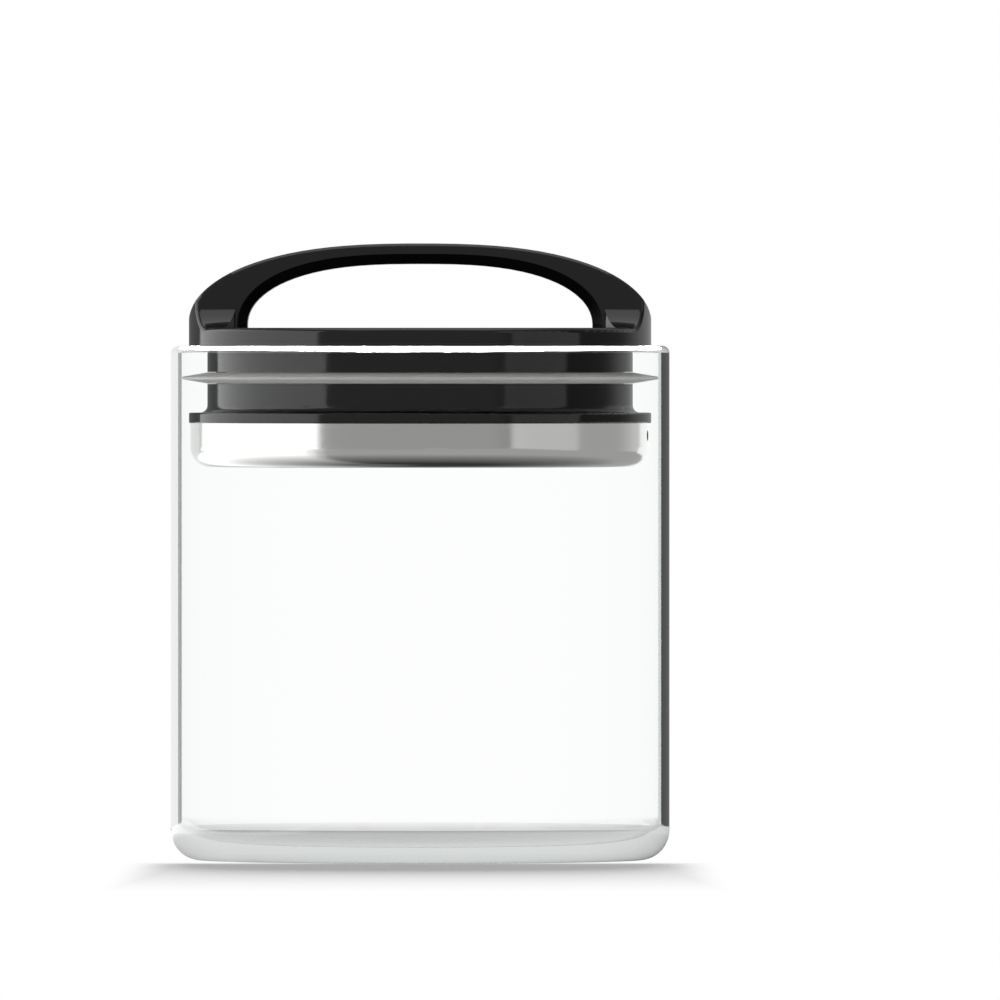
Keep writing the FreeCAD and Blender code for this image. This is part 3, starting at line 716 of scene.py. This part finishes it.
def white_paper(stage):
    """Matt white studio paper: white to the eye, with the soft shadow kept in front of the foot."""
    material, tree = empty_material("White studio paper")
    place = add_node(tree, "ShaderNodeTexCoord")
    axes = add_node(tree, "ShaderNodeSeparateXYZ", {"Vector": place.outputs["Object"]})
    # The shadow lies within a patch round the foot, and the paper is plain white beyond
    side_starts, side_ends = 49 * MM, 60 * MM
    front_starts, front_ends = -100 * MM, -360 * MM
    back_starts, back_ends = -50 * MM, -20 * MM
    aside = add_node(tree, "ShaderNodeMath", {0: axes.outputs["X"]}, operation="ABSOLUTE")
    wide = add_node(tree, "ShaderNodeMapRange", {
        "Value": aside.outputs["Value"], "From Min": side_starts, "From Max": side_ends},
        interpolation_type="SMOOTHSTEP")
    ahead = add_node(tree, "ShaderNodeMapRange", {
        "Value": axes.outputs["Y"], "From Min": front_starts, "From Max": front_ends},
        interpolation_type="SMOOTHSTEP")
    behind = add_node(tree, "ShaderNodeMapRange", {
        "Value": axes.outputs["Y"], "From Min": back_starts, "From Max": back_ends},
        interpolation_type="SMOOTHSTEP")
    along = add_node(tree, "ShaderNodeMath", {
        0: ahead.outputs["Result"], 1: behind.outputs["Result"]}, operation="MAXIMUM")
    faded = add_node(tree, "ShaderNodeMath", {
        0: wide.outputs["Result"], 1: along.outputs["Value"]}, operation="MAXIMUM")
    paper = add_node(tree, "ShaderNodeBsdfDiffuse", {"Color": opaque(stage.paper)})
    lift = add_node(tree, "ShaderNodeEmission", {"Strength": stage.paper_lift})
    lifted = add_node(tree, "ShaderNodeAddShader", {0: paper.outputs["BSDF"], 1: lift.outputs["Emission"]})
    white = add_node(tree, "ShaderNodeEmission", {"Strength": 1.0})
    view = add_node(tree, "ShaderNodeMixShader", {
        "Fac": faded.outputs["Value"], 1: lifted.outputs["Shader"], 2: white.outputs["Emission"]})
    # In the lid's mirror the paper glows with painted light: a painted shadow near the foot, brighter far
    # away, and a painted pool of light on the left, where the large softbox stands
    near, far_away = 30 * MM, 150 * MM
    shadowed_share = 0.1
    left_ends, front_begins = -0.84, -0.72
    rear_lean = -0.5
    path = add_node(tree, "ShaderNodeLightPath")
    reach = add_node(tree, "ShaderNodeVectorMath", {0: place.outputs["Object"]}, operation="LENGTH")
    far = add_node(tree, "ShaderNodeMapRange", {
        "Value": reach.outputs["Value"], "From Min": near, "From Max": far_away,
        "To Min": shadowed_share, "To Max": 1.0})
    rear = add_node(tree, "ShaderNodeMath", {0: axes.outputs["Y"], 1: 0.0}, operation="MAXIMUM")
    leftward = add_node(tree, "ShaderNodeMath", {
        0: rear.outputs["Value"], 1: rear_lean, 2: axes.outputs["X"]}, operation="MULTIPLY_ADD")
    turn = add_node(tree, "ShaderNodeMath", {
        0: leftward.outputs["Value"], 1: reach.outputs["Value"]}, operation="DIVIDE")
    side = add_node(tree, "ShaderNodeMapRange", {
        "Value": turn.outputs["Value"], "From Min": left_ends, "From Max": front_begins,
        "To Min": stage.paper_left, "To Max": stage.paper_front})
    mirror_level = add_node(tree, "ShaderNodeMath", {
        0: far.outputs["Result"], 1: side.outputs["Result"]}, operation="MULTIPLY")
    glossy_level = add_node(tree, "ShaderNodeMix", {
        "Factor": path.outputs["Is Glossy Ray"], "A": stage.paper_bounce, "B": mirror_level.outputs["Value"]})
    in_wall = add_node(tree, "ShaderNodeMath", {
        0: path.outputs["Transmission Depth"], 1: 2.0}, operation="MODULO")
    bent = add_node(tree, "ShaderNodeMath", {
        0: path.outputs["Is Transmission Ray"], 1: in_wall.outputs["Value"]}, operation="MAXIMUM")
    level = add_node(tree, "ShaderNodeMix", {
        "Factor": bent.outputs["Value"], "A": glossy_level.outputs["Result"], "B": stage.paper_in_glass})
    unseen = add_node(tree, "ShaderNodeEmission", {"Strength": level.outputs["Result"]})
    shown = add_node(tree, "ShaderNodeMixShader", {
        "Fac": path.outputs["Is Camera Ray"], 1: unseen.outputs["Emission"], 2: view.outputs["Shader"]})
    add_node(tree, "ShaderNodeOutputMaterial", {"Surface": shown.outputs["Shader"]})
    return material


def add_floor(stage):
    """Square of studio paper just below the jar's foot."""
    start_modelling()
    bpy.ops.mesh.primitive_plane_add(size=stage.floor_size, location=(0, 0, -stage.floor_drop))
    floor = bpy.context.object
    floor.name = "studio_floor"
    floor.data.materials.append(white_paper(stage))
    return floor


def add_world(stage):
    """White behind the object as the camera sees it, and a room of uneven brightness round it."""
    world = bpy.data.worlds.new("White studio")
    bpy.context.scene.world = world
    world.use_nodes = True
    tree = world.node_tree
    tree.nodes.clear()
    # Brightness goes by direction, whose axes run right, away from the camera and up
    back_left_ends, back_right_begins = -0.1, 0.1
    front_middle_ends, front_right_begins = 0.6, 0.85
    front_ends, back_begins = 0.4, 0.95
    way = add_node(tree, "ShaderNodeTexCoord")
    axes = add_node(tree, "ShaderNodeSeparateXYZ", {"Vector": way.outputs["Generated"]})
    path = add_node(tree, "ShaderNodeLightPath")
    passed = add_node(tree, "ShaderNodeMath", {
        0: path.outputs["Transmission Depth"], 1: path.outputs["Transparent Depth"]}, operation="ADD")
    inside = add_node(tree, "ShaderNodeMath", {0: passed.outputs["Value"], 1: 1.5}, operation="GREATER_THAN")
    mirrored = add_node(tree, "ShaderNodeMix", {
        "Factor": path.outputs["Is Singular Ray"], "A": stage.right_back_level, "B": stage.right_glass_level})
    right_back = add_node(tree, "ShaderNodeMix", {
        "Factor": inside.outputs["Value"], "A": mirrored.outputs["Result"], "B": stage.right_inside_level})
    back = add_node(tree, "ShaderNodeMapRange", {
        "Value": axes.outputs["X"], "From Min": back_left_ends, "From Max": back_right_begins,
        "To Min": stage.left_back_level, "To Max": right_back.outputs["Result"]},
        interpolation_type="SMOOTHSTEP")
    front = add_node(tree, "ShaderNodeMapRange", {
        "Value": axes.outputs["X"], "From Min": front_middle_ends, "From Max": front_right_begins,
        "To Min": stage.front_level, "To Max": stage.right_level}, interpolation_type="SMOOTHSTEP")
    backness = add_node(tree, "ShaderNodeMapRange", {
        "Value": axes.outputs["Y"], "From Min": front_ends, "From Max": back_begins},
        interpolation_type="SMOOTHSTEP")
    level = add_node(tree, "ShaderNodeMix", {
        "Factor": backness.outputs["Result"], "A": front.outputs["Result"], "B": back.outputs["Result"]})
    room = add_node(tree, "ShaderNodeBackground", {
        "Color": (1, 1, 1, 1), "Strength": level.outputs["Result"]})
    # A white card on the left and a black one on the right, far behind, draw the edges of the glass
    # Each card has a line of the other tone in it, given by its middle and half its width
    left_line_middle, left_line_half = -0.455, 0.045
    right_line_middle, right_line_half = 0.47, 0.035
    pale_ends, dark_begins = 0.0, 0.1
    level_ends, steep_begins = 0.02, 0.06
    left_line = add_node(tree, "ShaderNodeMath", {
        0: axes.outputs["X"], 1: left_line_middle, 2: left_line_half}, operation="COMPARE")
    pale = add_node(tree, "ShaderNodeMix", {
        "Factor": left_line.outputs["Value"], "A": stage.pale_edge_level, "B": stage.left_line_level})
    right_line = add_node(tree, "ShaderNodeMath", {
        0: axes.outputs["X"], 1: right_line_middle, 2: right_line_half}, operation="COMPARE")
    dark = add_node(tree, "ShaderNodeMix", {
        "Factor": right_line.outputs["Value"], "A": stage.dark_edge_level, "B": stage.right_line_level})
    rightness = add_node(tree, "ShaderNodeMapRange", {
        "Value": axes.outputs["X"], "From Min": pale_ends, "From Max": dark_begins})
    cards = add_node(tree, "ShaderNodeMix", {
        "Factor": rightness.outputs["Result"], "A": pale.outputs["Result"], "B": dark.outputs["Result"]})
    steepness = add_node(tree, "ShaderNodeMath", {0: axes.outputs["Z"]}, operation="ABSOLUTE")
    steep = add_node(tree, "ShaderNodeMapRange", {
        "Value": steepness.outputs["Value"], "From Min": level_ends, "From Max": steep_begins})
    drawn = add_node(tree, "ShaderNodeMix", {
        "Factor": steep.outputs["Result"], "A": cards.outputs["Result"], "B": stage.inner_glow})
    edge = add_node(tree, "ShaderNodeBackground", {
        "Color": (1, 1, 1, 1), "Strength": drawn.outputs["Result"]})
    white = add_node(tree, "ShaderNodeBackground", {"Color": (1, 1, 1, 1), "Strength": 1.0})
    # Light that the wall of the glass has led along sees the cards, and a straight view sees plain white
    bounced = add_node(tree, "ShaderNodeMath", {
        0: path.outputs["Glossy Depth"], 1: 0.5}, operation="GREATER_THAN")
    led_out = add_node(tree, "ShaderNodeMath", {
        0: bounced.outputs["Value"], 1: path.outputs["Is Transmission Ray"]}, operation="MULTIPLY")
    in_wall = add_node(tree, "ShaderNodeMath", {
        0: path.outputs["Transmission Depth"], 1: 2.0}, operation="MODULO")
    guided = add_node(tree, "ShaderNodeMath", {
        0: led_out.outputs["Value"], 1: in_wall.outputs["Value"]}, operation="MAXIMUM")
    straight = add_node(tree, "ShaderNodeMath", {
        0: path.outputs["Is Transmission Ray"], 1: bounced.outputs["Value"]}, operation="GREATER_THAN")
    seen = add_node(tree, "ShaderNodeMath", {
        0: path.outputs["Is Camera Ray"], 1: straight.outputs["Value"]}, operation="MAXIMUM")
    haze = add_node(tree, "ShaderNodeBackground", {"Color": (1, 1, 1, 1), "Strength": stage.room_level})
    lit = add_node(tree, "ShaderNodeMixShader", {
        "Fac": guided.outputs["Value"], 1: room.outputs["Background"], 2: edge.outputs["Background"]})
    round_about = add_node(tree, "ShaderNodeMixShader", {
        "Fac": path.outputs["Is Diffuse Ray"], 1: lit.outputs["Shader"], 2: haze.outputs["Background"]})
    shown = add_node(tree, "ShaderNodeMixShader", {
        "Fac": seen.outputs["Value"], 1: round_about.outputs["Shader"], 2: white.outputs["Background"]})
    add_node(tree, "ShaderNodeOutputWorld", {"Surface": shown.outputs["Shader"]})


def add_softbox(name, level, receivers, *, size, across, distance, up=0):
    """Softbox of an even brightness that faces the lid, at angles in degrees from the camera's side."""
    lamp = bpy.data.lights.new(name, "AREA")
    lamp.shape = "RECTANGLE"
    lamp.size, lamp.size_y = size
    lamp.energy = level * math.pi * lamp.size * lamp.size_y
    softbox = bpy.data.objects.new(name, lamp)
    bpy.context.scene.collection.objects.link(softbox)
    turn, rise = math.radians(across), math.radians(up)
    out = Vector((math.sin(turn) * math.cos(rise), -math.cos(turn) * math.cos(rise), math.sin(rise)))
    lid_middle = Vector((0, 0, 100 * MM))
    softbox.location = lid_middle + out * distance
    softbox.rotation_euler = (-out).to_track_quat("-Z", "Y").to_euler()
    softbox.visible_camera = False
    softbox.visible_transmission = False
    softbox.light_linking.receiver_collection = receivers
    return lamp


def show_outside_glass(lamp):
    """Hides a softbox from what the glass bends, so that only its outer skin mirrors it."""
    lamp.use_nodes = True
    tree = lamp.node_tree
    tree.nodes.clear()
    path = add_node(tree, "ShaderNodeLightPath")
    outside = add_node(tree, "ShaderNodeMath", {
        0: path.outputs["Transmission Depth"], 1: 0.5}, operation="LESS_THAN")
    glow = add_node(tree, "ShaderNodeEmission", {"Strength": outside.outputs["Value"]})
    add_node(tree, "ShaderNodeOutputLight", {"Surface": glow.outputs["Emission"]})


def light_group(name, objects, state):
    """Objects that a softbox lights, or leaves out."""
    group = bpy.data.collections.new(name)
    for item in objects:
        group.objects.link(item)
    for link in group.collection_objects:
        link.light_linking.link_state = state
    return group


def add_lamps(stage, floor):
    """Softboxes round the lid, a strip behind for the floor, and cards that draw the glass and the steel."""
    # The glass does not mirror the side softboxes, so that the lid stays clear to see behind it
    jar = bpy.data.objects["clear_glass_jar"]
    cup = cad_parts["base_cup"]
    lid_only = light_group("lid_only", (jar, floor), "EXCLUDE")
    floor_only = light_group("floor_only", (floor,), "INCLUDE")
    rim_only = light_group("rim_only", (jar,), "INCLUDE")
    glass_and_steel = light_group("glass_and_steel", (jar, cup), "INCLUDE")
    steel_only = light_group("steel_only", (cup,), "INCLUDE")
    add_softbox("left_softbox", stage.key_level, lid_only, size=(1.4, 1.2), across=-96, distance=0.7)
    add_softbox("right_softbox", stage.fill_level, lid_only, size=(0.64, 1.2), across=65.5, distance=0.9)
    add_softbox("top_softbox", stage.top_level, lid_only, size=(1.2, 1.2), across=0, up=90, distance=1.1)
    add_softbox("back_strip", stage.back_level, floor_only, size=(0.3, 1.2), across=180, up=38, distance=1.5)
    rim_lamp = add_softbox(
        "rim_softbox", stage.rim_level, rim_only, size=(2.4, 5.0), across=0, up=90, distance=0.6)
    show_outside_glass(rim_lamp)
    left_lamp = add_softbox(
        "left_card", stage.left_card_level, glass_and_steel, size=(0.9, 1.2), across=-162, distance=1.4)
    show_outside_glass(left_lamp)
    add_softbox("right_card", stage.right_card_level, steel_only, size=(2.1, 1.2), across=132, distance=1.0)
    add_softbox("right_edge", stage.right_edge_level, steel_only, size=(0.9, 1.2), across=162, distance=1.4)


def add_camera(stage):
    """Long lens in front of the object, a hair above the level."""
    camera = bpy.data.objects.new("camera", bpy.data.cameras.new("camera"))
    bpy.context.scene.collection.objects.link(camera)
    bpy.context.scene.camera = camera
    camera.data.lens = camera.data.sensor_width * stage.distance / stage.picture_width
    camera.data.clip_end = 10 * stage.distance
    aim = Vector((stage.aim_x, 0, stage.aim_z))
    back = Vector((0, -math.cos(stage.elevation), math.sin(stage.elevation)))
    camera.location = aim + back * stage.distance
    camera.rotation_euler = (-back).to_track_quat("-Z", "Y").to_euler()


class CANISTER_OT_stage(bpy.types.Operator):
    """Lay the white floor, light it and set up the camera"""

    bl_idname = "canister.stage"
    bl_label = "Stage"

    def execute(self, context):
        stage = context.scene.canister_stage
        floor = add_floor(stage)
        add_world(stage)
        add_lamps(stage, floor)
        add_camera(stage)
        context.scene.view_settings.view_transform = "Standard"
        return {"FINISHED"}


PIECES = (
    CANISTER_OT_glass_jar,
    CANISTER_OT_lid_shell,
    CANISTER_OT_base_cup,
    CANISTER_OT_seal_ring,
    CANISTER_OT_valve_parts,
    CANISTER_OT_return_spring,
    CANISTER_OT_fasteners,
    CANISTER_OT_stage,
)


class CANISTER_PT_panel(bpy.types.Panel):
    """Lists the canister's pieces and its stage"""

    bl_idname = "CANISTER_PT_panel"
    bl_label = "Canister"
    bl_space_type = "VIEW_3D"
    bl_region_type = "UI"
    bl_category = "Canister"

    def draw(self, context):
        for piece in PIECES:
            self.layout.operator(piece.bl_idname)
        scene = context.scene
        for group in (scene.canister_jar, scene.canister_lid, scene.canister_colours, scene.canister_stage):
            box = self.layout.box()
            for name in group.__annotations__:
                box.prop(group, name)


CLASSES = (JarSizes, LidSizes, FinishColours, StageSettings, *PIECES, CANISTER_PT_panel)


def register():
    for cls in CLASSES:
        bpy.utils.register_class(cls)
    bpy.types.Scene.canister_jar = PointerProperty(type=JarSizes)
    bpy.types.Scene.canister_lid = PointerProperty(type=LidSizes)
    bpy.types.Scene.canister_colours = PointerProperty(type=FinishColours)
    bpy.types.Scene.canister_stage = PointerProperty(type=StageSettings)


def unregister():
    del bpy.types.Scene.canister_stage
    del bpy.types.Scene.canister_colours
    del bpy.types.Scene.canister_lid
    del bpy.types.Scene.canister_jar
    for cls in reversed(CLASSES):
        bpy.utils.unregister_class(cls)


def main():
    register()
    bpy.ops.canister.glass_jar()
    bpy.ops.canister.lid_shell()
    bpy.ops.canister.base_cup()
    bpy.ops.canister.seal_ring()
    bpy.ops.canister.valve_parts()
    bpy.ops.canister.return_spring()
    bpy.ops.canister.fasteners()
    bpy.ops.canister.stage()


if __name__ == "__main__":
    main()
